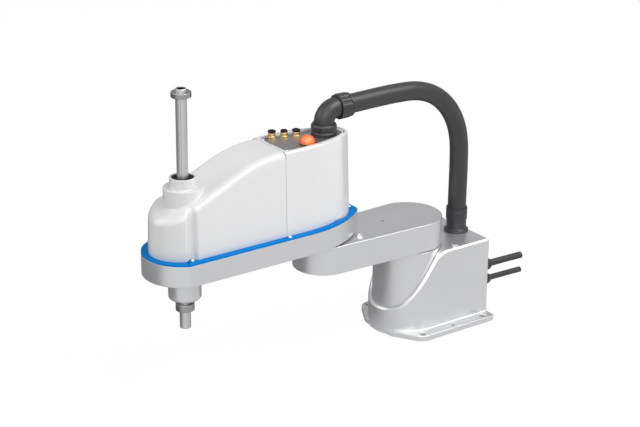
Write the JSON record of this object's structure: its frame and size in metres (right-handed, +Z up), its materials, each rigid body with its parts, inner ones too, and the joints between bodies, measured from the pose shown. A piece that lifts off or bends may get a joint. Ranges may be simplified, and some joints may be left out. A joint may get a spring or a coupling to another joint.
{
  "type": "scara robot arm",
  "caption": "Four-axis horizontal arm robot: swept cast base, flat upper arm, covered forearm, hollow quill that lifts and turns, and an outside cable duct.",
  "frame": {"origin": "the first joint's axis on the base's mounting face", "axes": "+X along the straight arm towards the quill, +Y to the robot's left, +Z up along the first joint's axis"},
  "size_m": [0.6582, 0.156, 0.449],
  "materials": {
    "casting": "satin light grey paint on die-cast aluminium",
    "cover": "glossy off-white moulded plastic",
    "trim": "satin blue",
    "panel": "mid-grey coated sheet",
    "machined": "turned and milled",
    "shaft": "ground and hardened",
    "bearing": "ground",
    "screw": "bright zinc",
    "brass": "nickel-washed brass",
    "dark": "dark grey nylon",
    "duct": "smooth dark grey corrugated-duct jacket",
    "cable": "dark grey cable jacket",
    "belt": "black toothed belt",
    "seal": "black",
    "lens": "translucent orange",
    "motor": "black anodised servo housing"
  },
  "bodies": {
    "base": {"base_casting": "casting", "base_column": "casting", "base_rear_panel": "panel", "rear_panel_screws": "screw", "power_cable_gland": "dark", "power_cable": "cable", "signal_cable_gland": "dark", "signal_cable": "cable", "rear_air_fittings": "brass", "rear_fitting_collars": "dark", "duct_gland": "dark", "duct_gland_nut": "dark", "duct_hose": "duct", "breather_plug": "screw", "j1_motor": "motor", "j1_reducer": "machined"},
    "upper_arm": {"upper_arm_casting": "casting", "j1_output_flange": "machined", "j2_output_flange": "machined", "stop_bolt": "screw", "elbow_lower_nut": "dark", "duct_elbow": "dark", "elbow_union_nut": "dark"},
    "forearm": {"forearm_casting": "casting", "trim_plate": "trim", "front_cover": "cover", "rear_cover": "cover", "top_plate": "panel", "top_plate_screws": "screw", "cover_screws": "screw", "air_fitting_bodies": "brass", "air_fitting_collars": "dark", "lamp_base": "dark", "lamp_lens": "lens", "duct_swivel_base": "dark", "j2_motor": "motor", "j2_reducer": "machined", "lift_motor": "motor", "spin_motor": "motor", "lift_belt": "belt", "spin_belt": "belt", "drive_bracket": "machined", "nose_housing": "machined", "spline_bearings": "bearing", "screw_bearing": "bearing", "shaft_seal": "seal"},
    "spline_rotor": {"spline_nut": "bearing", "spline_nut_pulley": "machined"},
    "spin_motor_rotor": {"spin_motor_pulley": "machined"},
    "screw_rotor": {"screw_nut": "bearing", "screw_nut_pulley": "machined"},
    "lift_motor_rotor": {"lift_motor_pulley": "machined"},
    "quill": {"spline_shaft": "shaft", "upper_collar": "machined", "lower_collar": "machined"}
  },
  "joints": [
    {"name": "j1_base_turn", "type": "hinge", "parent": "base", "child": "upper_arm", "pos_m": [0, 0, 0.1343], "axis": [0, 0, 1], "range_deg": [-132, 132], "deforming": ["duct_hose"]},
    {"name": "j2_elbow_turn", "type": "hinge", "parent": "upper_arm", "child": "forearm", "pos_m": [0.16, 0, 0.1778], "axis": [0, 0, -1], "range_deg": [-141, 141]},
    {"name": "j4_tool_turn", "type": "hinge", "parent": "forearm", "child": "spline_rotor", "pos_m": [0.4, 0, 0.22], "axis": [0, 0, 1], "range_deg": [-360, 360]},
    {"name": "j3_quill_lift", "type": "slide", "parent": "spline_rotor", "child": "quill", "axis": [0, 0, 1], "range_m": [-0.114, 0.006]},
    {"name": "spin_motor_turn", "type": "hinge", "parent": "forearm", "child": "spin_motor_rotor", "pos_m": [0.312, 0.0196, 0.22], "axis": [0, 0, 1], "range_deg": [-720, 720]},
    {"name": "screw_nut_turn", "type": "hinge", "parent": "forearm", "child": "screw_rotor", "pos_m": [0.4, 0, 0.23], "axis": [0, 0, 1], "range_deg": [-3425, 185]},
    {"name": "lift_motor_turn", "type": "hinge", "parent": "forearm", "child": "lift_motor_rotor", "pos_m": [0.312, -0.0196, 0.23], "axis": [0, 0, 1], "range_deg": [-6845, 365]}
  ],
  "couplings": [
    {"joint": "spin_motor_turn", "follows": "j4_tool_turn", "ratio": 2},
    {"joint": "screw_nut_turn", "follows": "j3_quill_lift", "rad_per_m": 523.6},
    {"joint": "lift_motor_turn", "follows": "j3_quill_lift", "rad_per_m": 1047.2}
  ]
}
